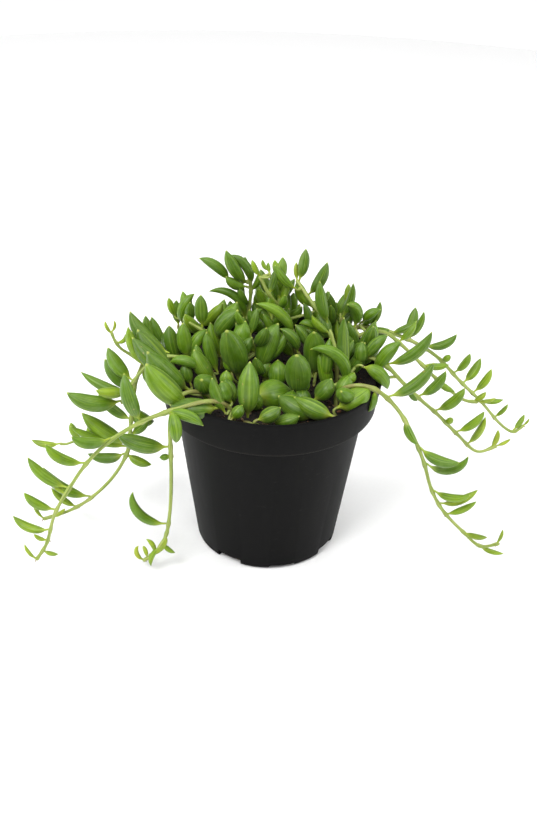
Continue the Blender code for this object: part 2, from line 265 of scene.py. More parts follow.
# %% The pot's outline
WALL = 1.2 * MM
FLOOR_TOP = 1.6 * MM
FLOOR_UNDERSIDE = 0.5 * MM
FOOT_RADIUS = 36 * MM
COLLAR_DEPTH = 17.5 * MM
LEDGE = POT_TOP - COLLAR_DEPTH
COLLAR_FOOT_RADIUS = RIM_RADIUS - 3.0 * MM
SHOULDER_RADIUS = COLLAR_FOOT_RADIUS - 5.2 * MM
POT_STEPS = 160
CORNER_ROUND = 0.45 * MM
CREASE_ANGLE = 35          # degrees; a sharper edge is drawn as a crease
NOTCH_COUNT = 8
NOTCH_FIRST = -31.0        # degrees
NOTCH_HEIGHTS = (4.2 * MM, 1.9 * MM)
NOTCH_WIDTH = 13.5 * MM
NOTCH_DEPTH = 6.0 * MM
NOTCH_ROUND = 0.6 * MM


def add_chain(bm, outline):
    """A chain of edges through (radius, height) points in the plane y = 0."""
    verts = [bm.verts.new((radius, 0.0, height)) for radius, height in outline]
    for first, second in zip(verts, verts[1:]):
        bm.edges.new((first, second))
    return verts


def spin_round(bm, steps):
    """A closed turned shape from the chain in a bmesh, with its faces outwards."""
    bmesh.ops.spin(
        bm, geom=bm.verts[:] + bm.edges[:], axis=(0, 0, 1), cent=(0, 0, 0), angle=2 * math.pi,
        steps=steps, use_merge=True)
    bmesh.ops.remove_doubles(bm, verts=bm.verts, dist=0.01 * MM)
    bmesh.ops.recalc_face_normals(bm, faces=bm.faces)


def pot_outline():
    """Half of the pot's section, from the middle of its floor up the inside and down the outside."""
    return (
        (0.0, FLOOR_TOP),
        (FOOT_RADIUS - WALL, FLOOR_TOP),
        (SHOULDER_RADIUS - WALL, LEDGE - WALL),
        (COLLAR_FOOT_RADIUS - WALL, LEDGE),
        (RIM_RADIUS - WALL, POT_TOP),
        (RIM_RADIUS, POT_TOP),
        (RIM_RADIUS - 0.35 * MM, POT_TOP - 2.2 * MM),
        (COLLAR_FOOT_RADIUS, LEDGE - WALL),
        (SHOULDER_RADIUS, LEDGE - 2 * WALL),
        (FOOT_RADIUS, WALL),
        (FOOT_RADIUS - WALL, 0.0),
        (FOOT_RADIUS - 6 * MM, 0.0),
        (FOOT_RADIUS - 7 * MM, FLOOR_UNDERSIDE),
        (0.0, FLOOR_UNDERSIDE),
    )


print(len(pot_outline()), "points in the pot's outline")


# %% Spin the pot and cut its notches
def cut_notches(uncut):
    """A bmesh of the pot with the notch blocks taken out of it."""
    bm = bmesh.new()
    for index in range(NOTCH_COUNT):
        around = math.radians(NOTCH_FIRST + index * 360 / NOTCH_COUNT)
        tall = NOTCH_HEIGHTS[index % 2]
        block = bmesh.ops.create_cube(bm, size=1.0)["verts"]
        bmesh.ops.scale(bm, vec=(2 * NOTCH_DEPTH, NOTCH_WIDTH, 2 * tall), verts=block)
        bmesh.ops.translate(bm, vec=(FOOT_RADIUS, 0, 0), verts=block)
        bmesh.ops.rotate(bm, cent=(0, 0, 0), matrix=Matrix.Rotation(around, 3, "Z"), verts=block)
    upper = [edge for edge in bm.edges if all(vert.co.z > 0 for vert in edge.verts)]
    bmesh.ops.bevel(
        bm, geom=upper, offset=NOTCH_ROUND, affect="EDGES", segments=3, profile=0.5, material=-1)
    cutter = mesh_object("notch blocks", bm)
    cut = uncut.modifiers.new("notches", "BOOLEAN")
    cut.operation = "DIFFERENCE"
    cut.solver = "EXACT"
    cut.object = cutter
    evaluated = uncut.evaluated_get(bpy.context.evaluated_depsgraph_get())
    result = bmesh.new()
    result.from_mesh(evaluated.to_mesh())
    evaluated.to_mesh_clear()
    for obj in (cutter, uncut):
        bpy.data.objects.remove(obj, do_unlink=True)
    return result


def make_pot():
    """The pot, turned, cut and creased."""
    bm = bmesh.new()
    corners = add_chain(bm, pot_outline())[2:-1]
    bmesh.ops.bevel(
        bm, geom=corners, offset=CORNER_ROUND, affect="VERTICES", segments=3, profile=0.5, material=-1)
    spin_round(bm, POT_STEPS)
    cut = cut_notches(mesh_object("uncut pot", bm))
    for edge in cut.edges:
        flat = edge.calc_face_angle(0.0) < math.radians(CREASE_ANGLE)
        edge.smooth = len(edge.link_faces) == 2 and flat
    return finish_piece("nursery_pot", cut, pot_plastic, ["pot"])


pot = make_pot()
print("pot has", len(pot.data.polygons), "faces")

# %% [markdown]
# ## The potting mix
# Potting mix is peat, composted bark and fibre. It is nearly black when moist, with reddish-brown
# bark crumbs and a few paler ones. The soil's body is spun like the pot, with many rings on its top,
# and the top is then pushed up and down by noise at two sizes, so it looks crumbly. Separate crumbs
# lie on it, each a small low-sided lump.

# %% Potting mix material
CRUMB = 1.4 * MM


def make_potting_mix():
    material, tree, shader = new_material("moist_potting_mix")
    place = object_place(tree)
    crumbs = add_node(tree, "ShaderNodeTexVoronoi", Vector=place, Scale=1 / CRUMB)
    fine = noise_at(tree, place, 0.5 * MM, 5.0)
    colour = ramp(
        tree, crumbs.outputs["Color"], (0.0, "#0f0b09"), (0.5, "#1d150f"), (0.8, "#332316"),
        (1.0, "#523823"))
    colour = tint(tree, fade(tree, fine, 0.35, 0.65, 0.75, 0.1), colour, "#120e0b")
    height = math_node(tree, "ADD", fine, math_node(tree, "MULTIPLY", crumbs.outputs["Distance"], -0.8))
    fill(tree, shader, Base_Color=colour, Normal=relief(tree, height, 0.9, 0.6 * MM), Roughness=0.93)
    return material


def make_bark():
    material, tree, shader = new_material("composted_bark_crumb")
    fine = noise_at(tree, object_place(tree), 0.6 * MM, 4.0)
    colour = ramp(
        tree, attribute(tree, "tone"), (0.0, "#120d0a"), (0.45, "#27190f"), (0.75, "#452715"),
        (0.93, "#7a4f2e"), (1.0, "#a38a68"))
    colour = tint(tree, fade(tree, fine, 0.3, 0.7, 0.6, 0.0), colour, "#1a110c")
    fill(tree, shader, Base_Color=colour, Normal=relief(tree, fine, 0.6, 0.3 * MM), Roughness=0.88)
    return material


potting_mix = make_potting_mix()
bark = make_bark()
print("made", potting_mix.name, "and", bark.name)

# %% Soil body and loose crumbs
SOIL_RINGS = 34
SOIL_STEPS = 150
SOIL_GAP = 0.3 * MM        # clearance to the pot's inner wall
LUMP = 4.5 * MM
GRIT = 1.6 * MM
CRUMB_COUNT = 750
CRUMB_REACH = 0.985        # how near to the pot's wall the crumbs lie
CRUMB_SIZES = (0.35, 1.5, 0.6)   # millimetres: least, most and commonest radius
CRUMB_REST = 0.25          # how much of its radius a crumb stands above the soil


def soil_height(radius):
    """The height of the smooth mound at a radius."""
    share = min(radius / SOIL_RADIUS, 1.0)
    return SOIL_EDGE + SOIL_MOUND * (1.0 - share * share)


def soil_bump(x, y):
    """How far the crumbly top stands above or below the smooth mound."""
    coarse = noise.noise(Vector((x, y, 0.0)) / LUMP)
    fine = noise.noise(Vector((x, y, 0.01)) / GRIT)
    edge = 1.0 - max(0.0, math.hypot(x, y) / SOIL_RADIUS - 0.96) / 0.04
    return (0.9 * coarse + 0.55 * fine) * MM * edge


def make_soil():
    bm = bmesh.new()
    radii = [SOIL_RADIUS * ring / SOIL_RINGS for ring in range(SOIL_RINGS + 1)]
    outline = [(radius, soil_height(radius)) for radius in radii]
    outline += [
        (COLLAR_FOOT_RADIUS - WALL - SOIL_GAP, LEDGE + SOIL_GAP),
        (SHOULDER_RADIUS - WALL - SOIL_GAP, LEDGE - WALL + SOIL_GAP),
        (FOOT_RADIUS - WALL - SOIL_GAP, SOIL_BOTTOM),
        (0.0, SOIL_BOTTOM),
    ]
    add_chain(bm, outline)
    spin_round(bm, SOIL_STEPS)
    for vert in bm.verts:
        if vert.co.z > SOIL_EDGE - 0.1 * MM:
            vert.co.z += soil_bump(vert.co.x, vert.co.y)
    return finish_piece("potting_mix", bm, potting_mix, ["soil"])


def make_crumbs(seed=5):
    chance = random.Random(seed)
    bm = bmesh.new()
    tone = bm.verts.layers.float.new("tone")
    for _ in range(CRUMB_COUNT):
        radius = SOIL_RADIUS * CRUMB_REACH * math.sqrt(chance.random())
        around = chance.uniform(0, 2 * math.pi)
        x, y = radius * math.cos(around), radius * math.sin(around)
        size = chance.triangular(*CRUMB_SIZES) * MM
        lump = bmesh.ops.create_icosphere(bm, subdivisions=1, radius=size)["verts"]
        shape = (chance.uniform(0.7, 1.6), chance.uniform(0.6, 1.0), chance.uniform(0.35, 0.8))
        bmesh.ops.scale(bm, vec=shape, verts=lump)
        turn = Matrix.Rotation(chance.uniform(0, math.pi), 3, Vector((0.3, chance.uniform(-1, 1), 1.0)))
        bmesh.ops.rotate(bm, cent=(0, 0, 0), matrix=turn, verts=lump)
        shade = min(1.0, chance.random() ** 1.3 + 0.05)
        for vert in lump:
            vert.co *= chance.uniform(0.82, 1.12)
            vert[tone] = shade
        rest = soil_height(radius) + soil_bump(x, y) + CRUMB_REST * size
        bmesh.ops.translate(bm, vec=(x, y, rest), verts=lump)
    return finish_piece("bark_crumbs", bm, bark)


soil = make_soil()
crumbs = make_crumbs()
print("soil faces", len(soil.data.polygons), "crumb faces", len(crumbs.data.polygons))

# %% [markdown]
# ## The routes of the stems
# The stems grow from the soil. Trailing ones go over the rim and hang free, upright shoots carry the
# top of the crown, and creeping ones lie on the soil. The routes are the ones that the CAD model was
# made from, but the creepers lie half a millimetre lower. Lengths are in millimetres. A point of a
# trailing stem is (around, out from the rim's outer edge, level): a level above the rim is a height,
# and one below it is a negative share of the pot's height. A point of a shoot is (around, share of
# the soil's radius, height above the soil).

# %% Routes of the CAD stems
TRAILING = {
    "stem_left_front": (
        (246, -13, -0.04), (242, -8, 2.9), (236, -2, 4.9), (228, 7, 2), (219, 19, -0.05),
        (213, 32, -0.16), (210, 42, -0.28), (208, 50, -0.42), (207, 58, -0.57), (207, 63, -0.73),
        (207, 69, -0.82)),
    "stem_left_middle": (
        (174, -14, -0.03), (176, -6, 3.4), (179, 2, 4.4), (183, 8, -0.02), (186, 12, -0.13),
        (188, 14, -0.3), (188, 16, -0.47), (188, 24, -0.63), (188, 36, -0.76), (187, 48, -0.85),
        (188, 61, -0.88)),
    "stem_left_hanging": (
        (226, -14, -0.01), (223, -5, 3.9), (222, 3, 2), (221, 6, -0.1), (221, 6, -0.25),
        (221, 6, -0.42), (221, 7, -0.6), (220, 9, -0.76), (217, 13, -0.87), (214, 18, -0.93)),
    "stem_left_upper": (
        (192, -26, -0.02), (189, -20, 3), (187, -12, 5.5), (186, -3, 5.5), (188, 5, 2),
        (190, 12, -0.05), (190, 18, -0.17)),
    "stem_right_front": (
        (324, -16, -0.01), (327, -8, 4.9), (331, 1, 3.9), (335, 10, -0.05), (337, 18, -0.18),
        (339, 25, -0.35), (340, 30, -0.51), (341, 37, -0.64), (343, 48, -0.77), (344, 57, -0.85),
        (344, 66, -0.81)),
    "stem_right_middle": (
        (6, -18, -0.01), (358, -9, 6.9), (353, 1, 4.9), (353, 9, -0.03), (355, 18, -0.13),
        (358, 28, -0.24), (0, 40, -0.38), (1, 51, -0.49), (3, 62, -0.48)),
    "stem_right_rear": (
        (40, -14, -0.01), (36, -5, 5.9), (31, 4, 5.9), (27, 15, 2), (25, 26, -0.04), (23, 39, -0.14),
        (21, 51, -0.28), (20, 65, -0.43), (20, 78, -0.59), (19, 86, -0.65), (19, 92, -0.62)),
    "stem_right_upper": (
        (24, -16, -0.01), (23, -8, 7.8), (21, 4, 8.8), (18, 13, 2), (15, 22, -0.07), (12, 32, -0.17),
        (9, 44, -0.26), (8, 52, -0.27)),
}
SHOOTS = {
    "shoot_back_left": ((114, 0.66, 8), (113, 0.6, 22), (112, 0.58, 34), (114, 0.58, 42)),
    "shoot_middle": ((62, 0.46, 8), (62, 0.4, 18), (74, 0.32, 29), (100, 0.24, 39), (122, 0.24, 49)),
    "shoot_left": ((160, 0.5, 8), (164, 0.58, 17), (167, 0.68, 22), (168, 0.8, 26)),
    "shoot_right": ((352, 0.62, 8), (4, 0.58, 19), (18, 0.5, 29), (38, 0.44, 36), (62, 0.46, 43)),
    "shoot_right_low": ((326, 0.58, 5), (334, 0.67, 7), (342, 0.74, 10), (349, 0.79, 13)),
    "shoot_left_low": ((222, 0.74, 5), (214, 0.86, 6.5), (203, 0.89, 8.5), (192, 0.87, 9.5)),
}
CREEPERS = {
    "creeper_front": ((252, 0.78), (264, 0.80), (278, 0.81), (292, 0.82), (306, 0.84)),
    "creeper_middle": ((186, 0.40), (214, 0.30), (258, 0.36), (300, 0.46), (338, 0.42), (8, 0.42)),
}
print(len(TRAILING) + len(SHOOTS) + len(CREEPERS), "stems stand for CAD nodes")

# %% [markdown]
# A few more shoots are too fine for the CAD model, or stand in the back of the crown. They are drawn
# in the same way, so each leaf of the crown has a stem near it.

# %% Routes of the finer shoots
FINE_SHOOTS = {
    "shoot_back": ((86, 0.6, 2), (88, 0.66, 14), (90, 0.7, 26), (84, 0.72, 37)),
    "shoot_back_right": ((48, 0.62, 2), (44, 0.72, 13), (40, 0.8, 22), (36, 0.9, 27)),
    "shoot_back_low": ((110, 0.74, 2), (104, 0.84, 9), (96, 0.95, 14), (90, 1.04, 16)),
    "shoot_left_back": ((142, 0.66, 2), (144, 0.8, 12), (148, 0.94, 18), (152, 1.06, 20)),
    "shoot_right_back": ((20, 0.66, 2), (16, 0.78, 10), (12, 0.9, 15), (10, 1.02, 16)),
    "shoot_centre": ((230, 0.1, 2), (200, 0.12, 12), (180, 0.18, 20), (170, 0.26, 26)),
    "shoot_centre_back": ((100, 0.3, 2), (96, 0.34, 14), (90, 0.36, 24), (80, 0.36, 34)),
}
FINE_TRAILING = {
    "shoot_upper_left": (
        (185, 1, 4), (183, 6, 1.2), (181, 10, 1.4), (180, 14, 3.6), (180, 18.2, 6.6), (180, 20.8, 10.8),
        (180, 22.2, 15)),
    "shoot_left_side": (
        (188, 15.5, -0.4), (185, 23.8, -0.437), (183, 32, -0.453), (182, 39.2, -0.463),
        (182, 43.3, -0.47), (182, 47.5, -0.488), (182, 50.5, -0.486)),
}
print(len(FINE_SHOOTS) + len(FINE_TRAILING), "finer shoots")

# %% Turn the rows into smooth curves
CREEPER_SINK = 0.5         # millimetres
ROOT_DEPTH = 2.0 * MM      # how far a stem goes into the soil
ROOT_LENGTH = 4.9 * MM     # the least height of its straight start


def polar(around, radius, height):
    """A point from its angle in degrees, its radius and its height."""
    angle = math.radians(around)
    return Vector((radius * math.cos(angle), radius * math.sin(angle), height))


def trailing_route(rows):
    levels = [rise * MM if rise > 0 else rise * POT_TOP for _, _, rise in rows]
    return [polar(row[0], RIM_RADIUS + row[1] * MM, POT_TOP + level) for row, level in zip(rows, levels)]


def above_soil(around, share, height):
    """A point above the soil, at a share of the soil's radius."""
    return polar(around, SOIL_RADIUS * share, soil_height(SOIL_RADIUS * share) + height * MM)


def shoot_route(rows):
    return [above_soil(*row) for row in rows]


def creeper_route(rows):
    """A creeper lies almost buried in the crumbs."""
    return [above_soil(*row, -CREEPER_SINK) for row in rows]


def rooted(points):
    """The route with its first point let down into the soil, straight under itself."""
    first = points[0].copy()
    first.z = soil_height(math.hypot(first.x, first.y)) - ROOT_DEPTH
    second = points[0].copy()
    second.z = max(second.z, first.z + ROOT_LENGTH)
    return [first, second, *points[1:]]


def smooth(points, samples=24):
    """Closely spaced points on a smooth curve through the route."""
    ends = [points[0] * 2 - points[1], *points, points[-1] * 2 - points[-2]]
    dense = []
    for before, start, finish, after in zip(ends, ends[1:], ends[2:], ends[3:]):
        for sample in range(samples):
            t = sample / samples
            pull = (finish - before) * t
            bend = (before * 2 - start * 5 + finish * 4 - after) * t * t
            ease = (start * 3 - before - finish * 3 + after) * t * t * t
            dense.append(start + (pull + bend + ease) * 0.5)
    dense.append(points[-1].copy())
    return dense


routes = {name: smooth(rooted(trailing_route(rows))) for name, rows in TRAILING.items()}
routes |= {name: smooth(rooted(shoot_route(rows))) for name, rows in {**SHOOTS, **FINE_SHOOTS}.items()}
routes |= {name: smooth(creeper_route(rows)) for name, rows in CREEPERS.items()}
routes |= {name: smooth(trailing_route(rows)) for name, rows in FINE_TRAILING.items()}
print(len(routes), "routes")

# %% [markdown]
# ## What a leaf is
# Each leaf is a plump spindle that stores water. It starts in a slender foot on the stem, swells,
# and ends in a small pale point. A shallow groove runs along its upper side: the window, a strip of
# clear tissue that lets light inside. A sphere is made with a ring of vertices for each station, its
# rings are moved along an arc, and its seam and poles stay closed. Two vectors are stored on each
# vertex for the material: its place round and along the leaf in millimetres, and three marks, which
# are the share of the length, the leaf's tone and how clearly its window shows.

# %% Leaf builder
LEAF_SIDES = 16
BELLY_DEPTH = 0.98         # a leaf bulges on its belly and is flatter on its window side
WINDOW_DEPTH = 0.80
FULLNESS = 1.06            # leaves are a little plumper than their solids
FOOT_RADIUS_LEAST = 0.52 * MM
FOOT_SINK = 1.0 * MM       # how far the foot goes into the stem's skin
FOOT_RINGS = 4             # rings that are never thinner than the foot
WINDOW_GROOVE = 0.07       # depth of the groove, as a share of the radius
GROOVE_WIDTH = 0.3         # radians
LUMPINESS = 0.05
YOUNG_LENGTH = 14 * MM     # a shorter leaf is young, so it is paler
LEAF_STATIONS = (          # share of the length, share of the half width
    (0.0, 0.0), (0.0, 0.13), (0.045, 0.13), (0.09, 0.26), (0.15, 0.55), (0.23, 0.79), (0.34, 0.95),
    (0.46, 1.0), (0.58, 0.98), (0.69, 0.89), (0.79, 0.71), (0.87, 0.49), (0.94, 0.24),
    (0.985, 0.07), (1.0, 0.0))
LEAF_RINGS = len(LEAF_STATIONS) - 1
chance = random.Random(11)


def new_leaf_bmesh():
    """An empty bmesh for leaves, with the two vectors."""
    bm = bmesh.new()
    bm.verts.layers.float_vector.new("leaf_place")
    bm.verts.layers.float_vector.new("leaf_marks")
    return bm


def add_leaf(bm, foot, chord, curl, length, width, bow, window=0.3, window_turn=0.0, tone=None):
    """One leaf from foot along chord; its tip curls towards curl, and the window is on that side."""
    place_layer = bm.verts.layers.float_vector["leaf_place"]
    marks_layer = bm.verts.layers.float_vector["leaf_marks"]
    if tone is None:
        young = max(0.0, 1.0 - length / YOUNG_LENGTH)
        tone = min(1.0, chance.uniform(0.0, 0.70) + 0.6 * young)
    half_bow = math.radians(max(bow, 4)) / 2
    bend_radius = length / (2 * math.sin(half_bow))
    side = chord.cross(curl)
    seed = Vector((chance.uniform(0, 90), chance.uniform(0, 90), chance.uniform(0, 90)))
    twist = chance.uniform(-0.2, 0.2)
    half = width / 2 * FULLNESS
    ball = bmesh.ops.create_uvsphere(bm, u_segments=LEAF_SIDES, v_segments=LEAF_RINGS, radius=1.0)
    for vert in ball["verts"]:
        ring = round(math.acos(max(-1.0, min(1.0, -vert.co.z))) / math.pi * LEAF_RINGS)
        station, share = LEAF_STATIONS[ring]
        around = math.atan2(vert.co.y, vert.co.x) + twist * station
        theta = around - math.radians(window_turn)
        radius = share * half
        if 0 < ring < FOOT_RINGS:
            radius = max(radius, FOOT_RADIUS_LEAST)
        groove = math.exp(-(math.remainder(theta, 2 * math.pi) / GROOVE_WIDTH) ** 2)
        lump = noise.noise(seed + Vector((math.cos(around), math.sin(around), 3 * station)))
        radius *= 1.0 - WINDOW_GROOVE * groove + LUMPINESS * lump
        if ring < 2:
            station = -FOOT_SINK / length
        angle = half_bow * (2 * station - 1)
        out = math.cos(half_bow) - math.cos(angle)
        up = math.sin(angle) + math.sin(half_bow)
        centre = (curl * out + chord * up) * bend_radius
        across = curl * math.cos(angle) - chord * math.sin(angle)
        depth = WINDOW_DEPTH if math.cos(around) > 0 else BELLY_DEPTH
        spoke = across * math.cos(around) * depth + side * math.sin(around)
        vert.co = foot + centre + spoke * radius
        skin = (math.cos(theta) * half, math.sin(theta) * half, station * length)
        vert[place_layer] = [distance / MM for distance in skin]
        vert[marks_layer] = (max(station, 0.0), tone, window)


print("a leaf has", LEAF_SIDES * LEAF_RINGS, "faces before it is smoothed")

# %% [markdown]
# ## The leaf's skin
# The leaf has a waxy skin. Seen close it has fine lengthwise lines, about a third of a millimetre apart,
# a darker window between two paler bands, a yellow-green foot and a pale point. A thin grey bloom of
# wax softens the shine. Light goes a little way into the flesh, so the shader scatters it under the
# surface.

# %% Waxy leaf skin
VEIN_SPACING = 0.34        # millimetres; the stored place is in millimetres too
VEIN_LENGTH = 22.0


def make_leaf_skin():
    material, tree, shader = new_material("waxy_leaf_skin")
    place = attribute(tree, "leaf_place", "Vector")
    marks = attribute(tree, "leaf_marks", "Vector")
    station, tone, window = add_node(tree, "ShaderNodeSeparateXYZ", Vector=marks).outputs
    across, beside, _ = add_node(tree, "ShaderNodeSeparateXYZ", Vector=place).outputs
    body = object_place(tree)
    patches = noise_at(tree, body, 7 * MM, 3.0)
    bloom = noise_at(tree, body, 3 * MM, 5.0)
    specks = noise_at(tree, body, 2.2 * MM, 1.0)
    lines = stretch(tree, place, 1 / VEIN_SPACING, 1 / VEIN_SPACING, 1 / VEIN_LENGTH)
    veins = noise_at(tree, lines, 1.0, 2.0)
    angle = math_node(tree, "ABSOLUTE", math_node(tree, "ARCTAN2", beside, across))
    ends = math_node(tree, "MULTIPLY", fade(tree, station, 0.10, 0.30), fade(tree, station, 0.97, 0.86))
    shown = math_node(tree, "MULTIPLY", ends, window)
    pale = math_node(tree, "MULTIPLY", fade(tree, angle, 0.60, 0.25), shown)
    dark = math_node(tree, "MULTIPLY", fade(tree, angle, 0.24, 0.10), shown)
    colour = ramp(tree, tone, (0.0, "#42620b"), (0.35, "#5b800d"), (0.65, "#7c9c17"), (1.0, "#a8b42c"))
    for factor, code in (
            (fade(tree, patches, 0.35, 0.75, 0.0, 0.5), "#3b5d0c"),
            (fade(tree, veins, 0.52, 0.68, 0.0, 0.46), "#92aa3c"),
            (fade(tree, veins, 0.47, 0.32, 0.0, 0.50), "#335208"),
            (math_node(tree, "MULTIPLY", pale, 0.42), "#96b044"),
            (math_node(tree, "MULTIPLY", dark, 0.80), "#3a5a1a"),
            (fade(tree, station, 0.26, 0.03, 0.0, 0.80), "#a2b23a"),
            (fade(tree, station, 0.95, 0.99, 0.0, 0.75), "#b6bd58"),
            (fade(tree, bloom, 0.40, 0.75, 0.0, 0.14), "#84a064"),
            (fade(tree, specks, 0.76, 0.80, 0.0, 0.6), "#a08a52")):
        colour = tint(tree, factor, colour, code)
    fill(
        tree, shader, Base_Color=colour, Roughness=between(tree, bloom, 0.28, 0.50),
        Normal=relief(tree, veins, 0.35, 0.15 * MM), IOR=1.42, Specular_IOR_Level=0.48,
        Subsurface_Weight=0.12, Subsurface_Radius=(0.6, 1.0, 0.15), Subsurface_Scale=2.0 * MM,
        Sheen_Weight=0.05, Sheen_Roughness=0.5, Sheen_Tint=paint("#cfe0d2"))
    return material


leaf_skin = make_leaf_skin()
print("made", leaf_skin.name)

# %% [markdown]
# ## The leaves of the CAD model
# Each of these leaves is measured on its own CAD node. A copy of the node's mesh is merged first,
# because its triangles are loose. The foot is the end where vertices crowd together, and the tip is
# the farthest vertex from it. The ring at half the length gives the width, and its offset from the
# straight line gives the bow and the side that the leaf curls to. A strand's leaves are numbered from
# the root outwards, and the younger ones further out are yellower.

# %% Measure a CAD leaf
WINDOW_FACES = {           # leaves whose window shows clearly: strength, and turn from the curl side
    "leaf_crown_front_1": (0.7, 170), "leaf_crown_front_2": (1.0, 25), "leaf_left_upper_3": (0.6, 40),
    "leaf_crown_right_1": (0.8, 10), "leaf_crown_left_1": (0.6, 60), "leaf_crown_left_2": (0.5, 35),
    "leaf_left_front_1": (0.9, 50), "leaf_crown_middle_1": (0.1, 0), "leaf_crown_middle_2": (0.1, 0),
    "leaf_crown_middle_3": (0.1, 0)}
PLUMPER = {                # leaves that are fuller than their solids, as a share of the width
    "leaf_crown_front_2": 1.5, "leaf_crown_left_2": 1.1, "leaf_left_upper_3": 1.05}
STRAND_BOW = 2.0           # leaves on strands are crescents, and slimmer
STRAND_SLIMNESS = 0.90
SMALL_BOW = 1.5            # the same for the smaller leaves, whose bow is given in their rows


WELD = 0.005 * MM
FOOT_CROWD = 8             # vertices that crowd together at a leaf's foot
WAIST = 0.03               # half the width of the middle ring's span, as a share of the length


def measure_leaf(node):
    """Foot, chord, curl side, length, width and bow of a CAD leaf."""
    bm = bmesh.new()
    bm.from_mesh(node.data)
    bmesh.ops.remove_doubles(bm, verts=bm.verts, dist=WELD)
    points = [vert.co.copy() for vert in bm.verts]
    bm.free()
    middle = sum(points, Vector()) / len(points)
    one = max(points, key=lambda point: (point - middle).length)
    other = max(points, key=lambda point: (point - one).length)

    def crowd(end):
        return sorted((point - end).length for point in points)[5]

    foot, tip = (one, other) if crowd(one) < crowd(other) else (other, one)
    near = sorted(points, key=lambda point: (point - foot).length)[:FOOT_CROWD]
    foot = sum(near, Vector()) / len(near)
    chord = (tip - foot).normalized()
    length = (tip - foot).length
    waist = [point for point in points if abs((point - foot).dot(chord) / length - 0.5) < WAIST]
    offset = sum(waist, Vector()) / len(waist) - (foot + tip) / 2
    offset -= chord * offset.dot(chord)
    curl = -offset.normalized()
    side = chord.cross(curl)
    spread = [point.dot(side) for point in waist]
    bow = math.degrees(4 * math.atan(2 * offset.length / length))
    return foot, chord, curl, length, max(spread) - min(spread), bow


print(len(WINDOW_FACES), "leaves have a window strength of their own")

# %% Rebuild the CAD leaves
cad_leaves = {}
for name in sorted(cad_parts):
    if not name.startswith("leaf_"):
        continue
    found = measure_leaf(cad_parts[name])
    cad_leaves[name] = found
    strength, turn = WINDOW_FACES.get(name, (0.35, 0))
    bm = new_leaf_bmesh()
    foot, chord, curl, length, width, bow = found
    width *= PLUMPER.get(name, 1.0)
    if "crown" in name:
        tone = chance.uniform(0.05, 0.45)
    else:
        bow *= STRAND_BOW
        width *= STRAND_SLIMNESS
        tone = min(1.0, 0.12 * int(name[-1]) + chance.uniform(-0.05, 0.2))
    add_leaf(bm, foot, chord, curl, length, width, bow, window=strength, window_turn=turn, tone=tone)
    finish_piece("fine_" + name, bm, leaf_skin, [name], levels=1)
print(len(cad_leaves), "CAD leaves rebuilt; the first is", round(found[3] / MM, 1), "mm long")

# %% [markdown]
# ## The smaller leaves of the strands
# The strands carry more leaves than the CAD model holds. Each row gives the share of the way along
# its stem, the heading round the pot, the rise, the length and width in millimetres, and the bow. A
# leaf with a negative bow curls down and not up.

